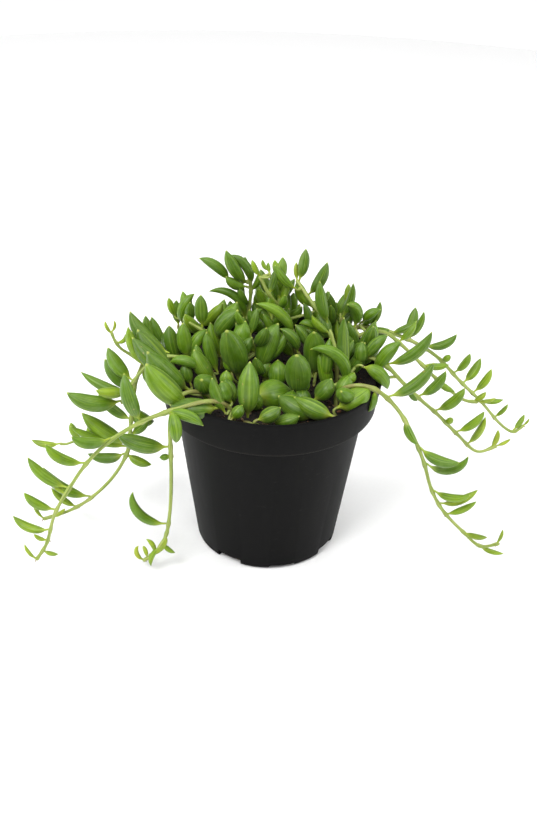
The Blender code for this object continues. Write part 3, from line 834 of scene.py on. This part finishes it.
# %% Rows of smaller leaves
STRAND_LEAVES = {
    "stem_left_front": (
        (0.27, 290, -58, 14, 6.5, -80), (0.29, 350, -14, 18, 6.4, -40), (0.74, 144, 39, 12, 4, 30),
        (0.92, 205, 42, 8, 2.6, 30), (0.96, 0, -15, 7, 2.6, 30), (1, 180, 61, 10, 2.2, 30)),
    "stem_left_middle": (
        (0.24, 0, -55, 16, 7.5, 25), (0.5, 20, 40, 12, 5.5, 25), (0.33, 164, 44, 20, 8.8, 25),
        (0.35, 164, 16, 28, 6, 25), (0.4, 39, -43, 17, 8.9, 30), (0.44, 149, 21, 21, 6, 30),
        (0.54, 171, 33, 28, 9.5, 20), (0.55, 186, 25, 31, 5.5, 20), (0.58, 351, -20, 13, 5.5, 30),
        (0.87, 171, 38, 16, 4.2, 30), (0.97, 0, 37, 9, 2.8, 30), (1, 180, 69, 11, 2.4, 30)),
    "stem_left_hanging": (
        (0.47, 180, -12, 5, 3.8, 15), (0.83, 180, -55, 16, 3.6, 50), (0.88, 0, -43, 8, 3, 30),
        (0.9, 195, -68, 12, 3.2, -45), (0.94, 160, 58, 8, 2.8, -60), (0.98, 120, 35, 6, 2.4, -60),
        (1, 180, 77, 9, 3, 70)),
    "stem_left_upper": (
        (0.66, 170, 69, 22, 6.3, 25), (0.88, 205, 12, 16, 6.5, 25), (0.6, 120, 50, 17, 6, 25)),
    "shoot_upper_left": (
        (0.24, 180, 73, 17, 6.4, 25), (0.8, 0, 50, 6, 2.6, 80), (0.97, 175, 66, 7, 2.2, 30),
        (1, 20, 78, 6, 1.8, 50)),
    "shoot_left_side": (
        (0.5, 180, 73, 9, 4.6, 25), (0.7, 180, 66, 11, 5.1, 25), (1, 180, 8, 14, 4.2, 35)),
    "stem_right_front": (
        (0.2, 180, -80, 12, 4.2, 25), (0.35, 328, -55, 13, 4.8, 25), (0.75, 0, 31, 16, 4, 25),
        (0.85, 330, 10, 12, 3.5, 25), (0.93, 0, -19, 13, 3.1, 25), (0.99, 0, 78, 9, 2.2, 20)),
    "stem_right_middle": (
        (0.42, 0, -55, 8, 3.4, 25), (0.68, 314, 50, 5, 4.2, 15), (0.84, 0, 67, 18, 4.6, 25),
        (0.97, 0, 79, 11, 3.6, 25), (1, 20, 20, 8, 2.2, 20)),
    "stem_right_rear": (
        (0.15, 180, 59, 14, 5.6, 50), (0.17, 0, 53, 11, 4.1, 25), (0.2, 0, 73, 15, 4.6, 25),
        (0.18, 334, 10, 14, 6.1, 40), (0.28, 0, 30, 14, 4.6, 25), (0.35, 0, 68, 17, 4.6, 25),
        (0.51, 325, 50, 6, 4.4, 15), (0.74, 350, 10, 12, 3.6, 25), (0.85, 10, 50, 10, 3, 25),
        (1, 15, 55, 5, 1.6, 30)),
    "stem_right_upper": (
        (0.45, 20, 50, 13, 4.5, 25), (0.63, 0, 3, 13, 4.6, 25), (0.74, 348, -31, 11, 4.1, 25),
        (0.97, 0, 44, 8, 3.6, 25), (1, 10, 10, 9, 2.5, 30)),
}


def along(dense, share):
    """Point and direction at a share of the way along a curve."""
    spans = [(second - first).length for first, second in zip(dense, dense[1:])]
    left = share * sum(spans)
    for first, second, span in zip(dense, dense[1:], spans):
        if left <= span:
            break
        left -= span
    return first.lerp(second, min(left / span, 1.0)), (second - first).normalized()


def aim(heading, rise, turn):
    """The chord of a leaf and the side that its tip curls to, turned round the chord from the top."""
    flat = math.cos(math.radians(rise))
    chord = polar(heading, flat, math.sin(math.radians(rise)))
    curl = Vector((0.0, 0.0, 1.0)) - chord * chord.z
    curl.normalize()
    return chord, Matrix.Rotation(math.radians(turn), 3, chord) @ curl


STANDOFF = 0.6             # millimetres from a stem's middle to a leaf's foot
joints = {name: [] for name in routes}
for stem, rows in STRAND_LEAVES.items():
    bm = new_leaf_bmesh()
    for share, heading, rise, length, width, bow in rows:
        centre, _ = along(routes[stem], share)
        chord, curl = aim(heading, rise, 180 if bow < 0 else 0)
        tone = min(1.0, 0.05 + 0.75 * share + chance.uniform(-0.05, 0.2))
        foot = centre + chord * STANDOFF * MM
        size = (length * MM, width * STRAND_SLIMNESS * MM, abs(bow) * SMALL_BOW)
        add_leaf(bm, foot, chord, curl, *size, tone=tone)
        joints[stem].append(centre)
    finish_piece("small_leaves_" + stem, bm, leaf_skin, levels=1)
print(sum(len(rows) for rows in STRAND_LEAVES.values()), "smaller leaves on the strands")

# %% [markdown]
# ## The crown
# The crown is crowded, so a leaf's foot is stated as a point: (around, share of the soil's radius,
# height above the soil in millimetres), followed by heading, rise, length, width, bow and how
# clearly its window shows. Each foot that stands away from a stem gets a short stalk to the nearest
# stem below it or to the soil, so no leaf floats.

# %% Rows of crown leaves
CROWN_FRONT = (
    (254, 0.47, 4, 27, -4, 19, 15.5, 20, 0.2), (208, 0.11, 6, 28, 69, 25, 10.2, -15, 0.2),
    (287, 0.23, 2, 96, 71, 13, 8.7, -15, 0.2), (45, 0.3, 6, 166, 57, 16, 6, 20, 0.4),
    (31, 0.22, 20, 180, 43, 25, 5.4, -62, 0.3), (341, 0.7, 5, 180, 49, 25, 6.3, -105, 0.2),
    (326, 0.87, 8, 246, 36, 16, 7.5, 15, 0.3), (355, 0.83, 12, 84, 76, 12, 6.3, -15, 0.3),
    (16, 0.57, 19, 180, 70, 15, 7.8, 20, 0.3), (178, 0.75, 8, 30, 62, 18, 5.9, -55, 0.3),
    (167, 0.49, 8, 142, 67, 18, 6, 20, 0.3), (193, 0.51, 6, 144, 70, 21, 6, 20, 0.3),
    (205, 0.58, 6, 168, 57, 18, 8.2, 25, 0.3), (217, 0.7, 9, 257, 38, 16, 9.6, 15, 0.2),
    (202, 0.72, 12, 180, 16, 14, 5.2, -75, 0.2), (183, 0.78, 12, 129, 77, 18, 6.8, 20, 0.3),
    (180, 0.88, 9, 142, 74, 19, 7.3, 20, 0.3), (244, 0.9, 7, 153, 67, 18, 5.4, 20, 0.7),
    (245, 0.81, 10, 154, 62, 11, 7, 20, 0.5), (225, 0.57, 6, 94, 75, 9, 5.6, 15, 0.3),
    (249, 0.93, 6, 27, 50, 8, 5.5, 15, 0.4), (240, 0.93, 9.5, 179, 2, 22, 9.6, 15, 0.1),
    (307, 0.93, 5, 164, 19, 20, 8.8, 20, 1), (263, 0.86, 5, 18, 25, 12, 7.2, 20, 0.9),
    (308, 0.65, 5, 23, 51, 13, 8.3, 25, 0.3), (337, 0.55, 7, 76, 78, 21, 5.8, -15, 0.3),
    (315, 0.86, 5, 20, 28, 18, 10.2, 20, 0.3), (338, 0.74, 8, 0, 56, 7, 4.8, 20, 0.3),
    (176, 0.62, 6, 175, 52, 22, 8, 20, 0.4), (190, 0.86, 4, 170, 50, 32, 10.8, 25, 0.8),
    (352, 0.7, 6, 20, 58, 18, 6.5, 20, 0.3), (8, 0.8, 6, 15, 50, 19, 6.5, 20, 0.3),
    (170, 0.86, 5, 190, 62, 19, 7.5, 20, 0.3), (224, 1.01, 8, 184, 49, 29, 11.2, 25, 0.9),
    (357, 0.88, 15, 12, 51, 16, 5.8, -30, 0.2), (347, 0.87, 15, 346, -39, 16, 6.7, -60, 0.2),
    (355, 0.98, 9, 0, 58, 21, 6.8, -30, 0.2), (187, 0.3, 15, 50, 76, 16, 8.2, -15, 0.3),
    (204, 0.28, 14, 0, 71, 12, 5.3, -20, 0.2), (340, 0.57, -1, 161, 74, 22, 6.8, -15, 0.2),
    (317, 0.45, 2, 138, 71, 9, 4.3, -15, 0.2), (257, 0.12, 2, 122, 77, 10, 6.3, 15, 0.2),
    (208, 0.41, 8, 136, 74, 10, 5.8, 15, 0.2), (350, 0.43, 6, 40, 74, 12, 5.8, 15, 0.2),
    (3, 0.65, 11, 79, 80, 11, 5.9, 15, 0.2), (194, 0.64, 7, 153, 73, 15, 5.8, 20, 0.2),
    (203, 0.8, 6, 145, 72, 11, 5.7, 20, 0.2), (262, 0.55, 0, 200, 62, 13, 8, 15, 0.2),
    (285, 0.62, -1, 70, 55, 12, 8, -15, 0.2), (300, 0.62, -1, 110, 60, 12, 7.5, -15, 0.2),
    (236, 0.62, 0, 120, 60, 14, 7, -15, 0.2), (226, 0.72, 1, 160, 55, 13, 7, -15, 0.2),
    (330, 0.72, 1, 40, 55, 14, 7, -15, 0.2), (272, 0.74, -1, 350, 25, 14, 7, 15, 0.5),
)
CROWN_TOP = (
    (49, 0.56, 29, 180, 62, 16, 6.9, 25, 0.3), (57, 0.37, 41, 180, 50, 16, 5.3, 25, 0.3),
    (79, 0.47, 24, 106, 80, 18, 5, 15, 0.3), (68, 0.42, 21, 121, 82, 17, 3.8, 15, 0.3),
    (30, 0.76, 25, 25, 75, 19, 4.5, 25, 0.3), (37, 0.77, 11, 95, 77, 19, 5, 15, 0.3),
    (152, 0.98, 18, 19, 68, 17, 6, -50, 0.3), (112, 0.58, 37, 180, 56, 19, 5.5, -50, 0.3),
    (128, 0.69, 39, 180, 38, 19, 6, -30, 0.3), (116, 0.6, 36, 204, 34, 13, 6, 30, 0.3),
    (115, 0.64, 17, 121, 78, 23, 4.2, 20, 0.3), (119, 0.57, 19, 180, 39, 23, 5, -80, 0.3),
    (151, 0.63, 17, 16, 53, 19, 9.9, 25, 0.3), (137, 0.4, 12, 71, 80, 13, 5.9, 20, 0.3),
    (106, 0.2, 53, 180, 63, 6, 2.4, 40, 0.1), (104, 0.18, 52, 110, 66, 5, 2, 40, 0.1),
    (172, 1.11, 13, 155, 72, 17, 5.9, 20, 0.3), (151, 1.04, 16, 116, 79, 13, 5, 20, 0.3),
    (169, 1.03, 13, 162, 64, 16, 5.9, 20, 0.3), (95, 0.23, 16, 180, 73, 13, 5.4, -25, 0.4),
    (137, 0.28, 18, 0, 50, 9, 4.4, -70, 0.2), (0, 0.24, 15, 180, 54, 15, 6.3, -40, 0.2),
    (14, 0.33, 16, 180, 63, 13, 6.3, -20, 0.6), (21, 0.44, 23, 180, 20, 9, 4.4, -60, 0.2),
    (42, 0.46, 19, 180, 78, 15, 4.9, -20, 0.2), (26, 0.87, 21, 219, 66, 15, 7, -70, 0.2),
    (26, 0.96, 23, 0, 40, 11, 5.5, -30, 0.2), (170, 0.44, 13, 180, 81, 13, 5.4, -20, 0.2),
    (117, 0.43, 20, 0, 57, 9, 4.5, -30, 0.2), (82, 0.47, 35, 180, 54, 10, 6.4, -40, 0.2),
    (99, 0.66, 17, 140, 77, 14, 5.6, 20, 0.2), (76, 0.68, 17, 52, 79, 13, 5.6, 20, 0.2),
    (53, 0.73, 19, 53, 78, 12, 5.6, 20, 0.2), (120, 0.71, 14, 148, 71, 12, 5.6, 20, 0.2),
)
print(len(CROWN_FRONT) + len(CROWN_TOP), "crown leaves by hand")

# %% [markdown]
# The back of the crown grows like the front, so its leaves follow the rule that the plant follows:
# each new leaf on a shoot stands about 137.5 degrees round from the last one, rising, and they get
# smaller and paler towards the shoot's end. Seeded chance makes them differ a little.

# %% Leaves in spirals along the back shoots
GOLDEN_ANGLE = 137.5
BACK_SHOOTS = {            # shoot: number of leaves, length of the largest in millimetres
    "shoot_back": (10, 21), "shoot_back_right": (9, 20), "shoot_back_low": (9, 20),
    "shoot_left_back": (9, 20), "shoot_right_back": (9, 19), "shoot_centre": (6, 20),
    "shoot_centre_back": (8, 20), "shoot_back_left": (5, 17), "shoot_middle": (5, 16),
    "shoot_right": (4, 15)}


def spiral_rows(name, count, longest, seed):
    """Leaves (foot, chord, curl, length, width, bow) in a spiral along a shoot."""
    roll = random.Random(seed)
    for index in range(count):
        share = 0.22 + 0.78 * index / max(count - 1, 1)
        centre, _ = along(routes[name], share)
        heading = index * GOLDEN_ANGLE + roll.uniform(-20, 20) + 40 * seed
        rise = 38 + 30 * share + roll.uniform(-8, 8)
        chord, curl = aim(heading, rise, roll.uniform(-25, 25))
        length = longest * (1.05 - 0.5 * share * share) * roll.uniform(0.88, 1.08)
        width = length * roll.uniform(0.30, 0.42)
        joints[name].append(centre)
        foot = centre + chord * STANDOFF * MM
        yield foot, chord, curl, length * MM, width * MM, roll.uniform(15, 40)


def nearest_hold(foot):
    """The nearest point of a stem below a foot, or the soil under it where there is soil."""
    best = Vector((foot.x, foot.y, soil_height(math.hypot(foot.x, foot.y)) - 1.0 * MM))
    distance = (best - foot).length * 1.2
    if math.hypot(foot.x, foot.y) > SOIL_RADIUS:
        distance = math.inf
    for dense in routes.values():
        for point in dense[::4]:
            if point.z < foot.z + 1.0 * MM and (point - foot).length < distance:
                best, distance = point, (point - foot).length
    return best


print("the shoots at the back carry", sum(count for count, _ in BACK_SHOOTS.values()), "leaves")

# %% Fill the crown
CROWN_GROUPS = (           # rows, how much more the leaves curl, and how much plumper they are
    ("front", CROWN_FRONT, 1.25, 1.10), ("top", CROWN_TOP, 1.5, 0.96))
TINY_LEAF = 8              # millimetres; a shorter leaf is paler
STALK_LEAST = 1.5 * MM     # a foot that is nearer to its hold needs no stalk
STALK_BEND = 3.0 * MM
stalk_routes = []
for group, rows, more_bow, fuller in CROWN_GROUPS:
    bm = new_leaf_bmesh()
    for around, share, height, heading, rise, length, width, bow, window in rows:
        foot = above_soil(around, share, height)
        chord, curl = aim(heading, rise, 180 if bow < 0 else 0)
        tone = chance.uniform(0.0, 0.5) + (0.45 if length < TINY_LEAF else 0.0)
        size = (length * MM, width * fuller * MM, abs(bow) * more_bow)
        add_leaf(bm, foot, chord, curl, *size, window, tone=tone)
        hold = nearest_hold(foot)
        reach = (hold - foot).length
        if reach > STALK_LEAST:
            bend = foot - chord * min(0.4 * reach, STALK_BEND)
            stalk_routes.append(smooth([foot + chord * 0.5 * MM, bend, hold], samples=4))
    finish_piece("crown_leaves_" + group, bm, leaf_skin, levels=1)
for seed, (name, (count, longest)) in enumerate(BACK_SHOOTS.items()):
    bm = new_leaf_bmesh()
    for leaf in spiral_rows(name, count, longest, seed + 1):
        add_leaf(bm, *leaf)
    finish_piece("spiral_leaves_" + name, bm, leaf_skin, levels=1)
print(len(stalk_routes), "stalks needed")

# %% [markdown]
# ## The stems' skin
# Young stems are yellow-green, shiny and finely ribbed lengthwise. Older stretches near the root go
# brownish and duller. The ribs are drawn in the mesh, and the skin's fine fibres in the material.

# %% Ribbed stem skin
FIBRE = 0.4                # millimetres
FIBRE_LENGTH = 14.0


def make_stem_skin():
    material, tree, shader = new_material("ribbed_stem_skin")
    lines = stretch(tree, attribute(tree, "stem_place", "Vector"), 1 / FIBRE, 1 / FIBRE, 1 / FIBRE_LENGTH)
    fibres = noise_at(tree, lines, 1.0, 3.0)
    mottle = noise_at(tree, object_place(tree), 5 * MM, 4.0)
    near_root = fade(tree, attribute(tree, "stem_share"), 0.34, 0.08)
    old = math_node(tree, "MULTIPLY", near_root, fade(tree, mottle, 0.35, 0.62, 0.15, 0.75))
    colour = ramp(tree, fibres, (0.30, "#71863a"), (0.50, "#92a34c"), (0.70, "#b0b66c"))
    colour = tint(tree, old, colour, "#7d6a45")
    colour = tint(tree, fade(tree, mottle, 0.55, 0.75, 0.0, 0.35), colour, "#86a04a")
    fill(
        tree, shader, Base_Color=colour, Normal=relief(tree, fibres, 0.4, 0.15 * MM), Roughness=0.45,
        IOR=1.42, Subsurface_Weight=0.12, Subsurface_Radius=(0.6, 0.9, 0.25), Subsurface_Scale=1.5 * MM)
    return material


stem_skin = make_stem_skin()
print("made", stem_skin.name)

# %% [markdown]
# A stem starts as a circle at the root. The circle's edges are extruded again and again, and each new
# ring is moved, turned and scaled to the next point of the route. Every second vertex stands out, for
# the ribs, and the ring swells where a leaf joins. The last ring is drawn together into one point.

# %% Grow a ribbed tube
STEM_SIDES = 12
STEM_SPACING = 1.5 * MM
STEM_RADIUS = 1.12 * MM
JOINT_SWELL = 0.50
JOINT_REACH = 1.5 * MM
TIP_REACH = 0.6            # how far the last point is past the last ring, as a share of its radius


def new_stem_bmesh():
    """An empty bmesh for stems, with the place in millimetres and the age of the skin."""
    bm = bmesh.new()
    bm.verts.layers.float_vector.new("stem_place")
    bm.verts.layers.float.new("stem_share")
    return bm


def grow_tube(bm, dense, radius_at, sides=STEM_SIDES, spacing=STEM_SPACING, rib=0.07, age=(0.0, 1.0)):
    """A closed ribbed tube along a curve; age runs from 0, old and brown, to 1, young and green."""
    place_layer = bm.verts.layers.float_vector["stem_place"]
    share_layer = bm.verts.layers.float["stem_share"]
    length = sum((second - first).length for first, second in zip(dense, dense[1:]))
    count = max(3, round(length / spacing))
    centre, tangent = along(dense, 0.0)
    radius = radius_at(centre, 0.0)
    ring = bmesh.ops.create_circle(bm, cap_ends=True, segments=sides, radius=1.0)["verts"]
    for index, vert in enumerate(ring):
        vert[share_layer] = age[0]
        vert[place_layer] = (vert.co.x * STEM_RADIUS / MM, vert.co.y * STEM_RADIUS / MM, 0.0)
        vert.co *= radius * (1.0 + (rib if index % 2 else -rib))
    turn = Vector((0, 0, 1)).rotation_difference(tangent).to_matrix()
    bmesh.ops.rotate(bm, cent=(0, 0, 0), matrix=turn, verts=ring)
    bmesh.ops.translate(bm, vec=centre, verts=ring)
    edges = list(ring[0].link_faces[0].edges)
    for step in range(1, count + 1):
        share = step / count
        ahead, heading = along(dense, share)
        grown = bmesh.ops.extrude_edge_only(bm, edges=edges)["geom"]
        ring = [item for item in grown if isinstance(item, bmesh.types.BMVert)]
        grown_edges = [item for item in grown if isinstance(item, bmesh.types.BMEdge)]
        edges = [edge for edge in grown_edges if set(edge.verts) <= set(ring)]
        wanted = radius_at(ahead, share)
        turn = tangent.rotation_difference(heading).to_matrix()
        bmesh.ops.translate(bm, vec=-centre, verts=ring)
        bmesh.ops.rotate(bm, cent=(0, 0, 0), matrix=turn, verts=ring)
        bmesh.ops.scale(bm, vec=[wanted / radius] * 3, verts=ring)
        bmesh.ops.translate(bm, vec=ahead, verts=ring)
        for vert in ring:
            x, y, _ = vert[place_layer]
            vert[place_layer] = (x, y, share * length / MM)
            vert[share_layer] = age[0] + (age[1] - age[0]) * share
        centre, tangent, radius = ahead, heading, wanted
    end = centre + tangent * radius * TIP_REACH
    cap = bmesh.ops.extrude_edge_only(bm, edges=edges)["geom"]
    cap_verts = [item for item in cap if isinstance(item, bmesh.types.BMVert)]
    bmesh.ops.pointmerge(bm, verts=cap_verts, merge_co=end)


print("a stem has", STEM_SIDES, "sides")


# %% Grow the stems
def stem_radius(name):
    """A function that gives the radius at a point of one stem, with its joints."""
    taper = 0.45 if name in FINE_SHOOTS or name in FINE_TRAILING else 0.32
    thin = 0.78 if name in FINE_SHOOTS or name in CREEPERS else 0.95 if name in FINE_TRAILING else 1.0
    base = STEM_RADIUS * thin

    def radius_at(point, share):
        plain = base * (1.0 - taper * share)
        near = min(((point - joint).length for joint in joints[name]), default=1.0)
        return plain * (1.0 + JOINT_SWELL * math.exp(-(near / JOINT_REACH) ** 2))

    return radius_at


for found in cad_leaves.values():
    best = min(
        ((point - found[0]).length, name, index)
        for name, dense in routes.items() for index, point in enumerate(dense))
    joints[best[1]].append(routes[best[1]][best[2]])
for name, dense in routes.items():
    bm = new_stem_bmesh()
    age = (0.0, 0.0) if name in CREEPERS else (0.6, 1.0) if name in FINE_TRAILING else (0.0, 1.0)
    grow_tube(bm, dense, stem_radius(name), age=age)
    bmesh.ops.recalc_face_normals(bm, faces=bm.faces)
    stands_for = [name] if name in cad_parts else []
    finish_piece("ribbed_" + name, bm, stem_skin, stands_for, levels=1)
bm = new_stem_bmesh()
for dense in stalk_routes:
    grow_tube(bm, dense, lambda point, share: (0.65 + 0.25 * share) * MM, sides=8, rib=0.03)
bmesh.ops.recalc_face_normals(bm, faces=bm.faces)
finish_piece("crown_stalks", bm, stem_skin, levels=1)
print(len(routes), "stems and", len(stalk_routes), "stalks")

# %% [markdown]
# At each joint of the trailing stems a dried scale is left behind: a pointed flap under two
# millimetres long, tan to reddish brown. It is a low cone, pressed flat and set on the skin.

# %% Joint scales
SCALE_LENGTH = 1.7 * MM
SCALE_RADIUS = 0.62 * MM


SCALE_TURN = 2.1           # radians from one scale to the next round the stem


def make_scale_skin():
    material, tree, shader = new_material("dried_joint_scale")
    mottle = noise_at(tree, object_place(tree), 0.8 * MM, 2.0)
    colour = ramp(tree, mottle, (0.35, "#6e4434"), (0.55, "#8c6a42"), (0.75, "#9a9a55"))
    fill(tree, shader, Base_Color=colour, Roughness=0.7)
    return material


bm = bmesh.new()
for name in TRAILING:
    for index, joint in enumerate(joints[name]):
        out = Vector((math.cos(index * SCALE_TURN), math.sin(index * SCALE_TURN), -0.4)).normalized()
        cone = bmesh.ops.create_cone(
            bm, cap_ends=True, segments=6, radius1=SCALE_RADIUS, radius2=0.0, depth=SCALE_LENGTH)["verts"]
        bmesh.ops.scale(bm, vec=(1.0, 0.45, 1.0), verts=cone)
        lean = Vector((0, 0, 1)).rotation_difference((out + Vector((0, 0, -0.5))).normalized()).to_matrix()
        bmesh.ops.rotate(bm, cent=(0, 0, 0), matrix=lean, verts=cone)
        bmesh.ops.translate(bm, vec=joint + out * STEM_RADIUS * 0.95, verts=cone)
finish_piece("joint_scales", bm, make_scale_skin())
print(sum(len(joints[name]) for name in TRAILING), "joint scales")

# %% [markdown]
# ## Floor, lights and camera
# The plant stands on a plain pale floor in plain soft studio light: a wide overhead softbox, a key
# from the front left, a tall one on each side that draws a long soft highlight down the pot, a weak
# fill from the front, and a white surround.

# %% Floor
FLOOR_LEVEL = -0.2 * MM


def stage_object(name, bm, material):
    """A piece of the studio, which is no part of the plant."""
    piece = mesh_object(name, bm, material)
    return piece


paper, tree, shader = new_material("matt_white_paper")
fibre = noise_at(tree, object_place(tree), 2 * MM, 3.0)
fill(tree, shader, Base_Color=ramp(tree, fibre, (0.0, "#fafafa"), (1.0, "#ffffff")), Roughness=0.8)
bm = bmesh.new()
bmesh.ops.create_circle(bm, cap_ends=True, segments=128, radius=1.0)
floor = stage_object("floor", bm, paper)
floor.location.z = FLOOR_LEVEL
print("the floor is a circle, and its middle is under the pot")

# %% White backdrop
# The backdrop is a wide white globe that only the camera sees, so it casts no light of its own.
BACKDROP_RADIUS = 3.9
WHITE = (1.0, 1.0, 1.0, 1.0)
glow, tree, shader = new_material("lit_white_backdrop")
fill(tree, shader, Base_Color=(0.0, 0.0, 0.0, 1.0), Emission_Color=WHITE, Emission_Strength=1.0)
bm = bmesh.new()
bmesh.ops.create_uvsphere(bm, u_segments=48, v_segments=24, radius=BACKDROP_RADIUS)
backdrop = stage_object("backdrop", bm, glow)
for kind in ("diffuse", "glossy", "transmission", "volume_scatter", "shadow"):
    setattr(backdrop, "visible_" + kind, False)
print("the backdrop is", BACKDROP_RADIUS, "m away")

# %% Lights
MIDDLE = (0.0, 0.0, 0.08)
SOFTBOXES = (              # name, place, target, width, height and power
    ("overhead softbox", (0.0, 0.2, 2.0), (0.0, 0.2, 0.0), 3.4, 3.4, 62.0),
    ("key softbox", (-0.45, -0.75, 1.15), MIDDLE, 0.40, 0.40, 9.0),
    ("left softbox", (-0.80, -0.05, 0.40), MIDDLE, 0.35, 0.9, 4.2),
    ("right softbox", (0.80, -0.05, 0.40), MIDDLE, 0.30, 0.9, 4.0),
    ("front fill", (0.1, -1.1, 0.9), MIDDLE, 0.7, 0.5, 3.5),
)
for name, place, target, width, height, power in SOFTBOXES:
    light = bpy.data.lights.new(name, "AREA")
    light.shape = "RECTANGLE"
    light.size = width
    light.size_y = height
    light.energy = power
    box = link_object(name, light)
    box.location = place
    box.rotation_euler = (Vector(target) - Vector(place)).to_track_quat("-Z", "Y").to_euler()
    box.visible_camera = False
world = bpy.data.worlds.new("white surround")
world.use_nodes = True
fill(world.node_tree, world.node_tree.nodes["Background"], Color=WHITE, Strength=0.08)
bpy.context.scene.world = world
bpy.context.scene.view_settings.view_transform = "Standard"
print(len(SOFTBOXES), "softboxes and a white surround")

# %% Camera
CAMERA_PLACE = Vector((-0.0006, -0.5080, 0.3884))
CAMERA_TARGET = Vector((-0.0006, 0.0, 0.0691))
CAMERA_LENS = 52.08        # millimetres
CAMERA_FRAME = 36.0        # millimetres, the height of the frame
CAMERA_ROLL = 0.0312       # radians
forward = (CAMERA_TARGET - CAMERA_PLACE).normalized()
level_right = forward.cross(Vector((0, 0, 1))).normalized()
level_up = level_right.cross(forward)
tilted_right = level_right * math.cos(CAMERA_ROLL) + level_up * math.sin(CAMERA_ROLL)
tilted_up = level_up * math.cos(CAMERA_ROLL) - level_right * math.sin(CAMERA_ROLL)
camera_data = bpy.data.cameras.new("camera")
camera_data.sensor_fit = "VERTICAL"
camera_data.sensor_height = CAMERA_FRAME
camera_data.lens = CAMERA_LENS
camera_data.clip_start = 0.01
camera = link_object("camera", camera_data)
axes = Matrix((tilted_right, tilted_up, -forward)).transposed()
camera.matrix_world = Matrix.Translation(CAMERA_PLACE) @ axes.to_4x4()
bpy.context.scene.camera = camera
print("camera", round((CAMERA_TARGET - CAMERA_PLACE).length, 3), "m from the plant")
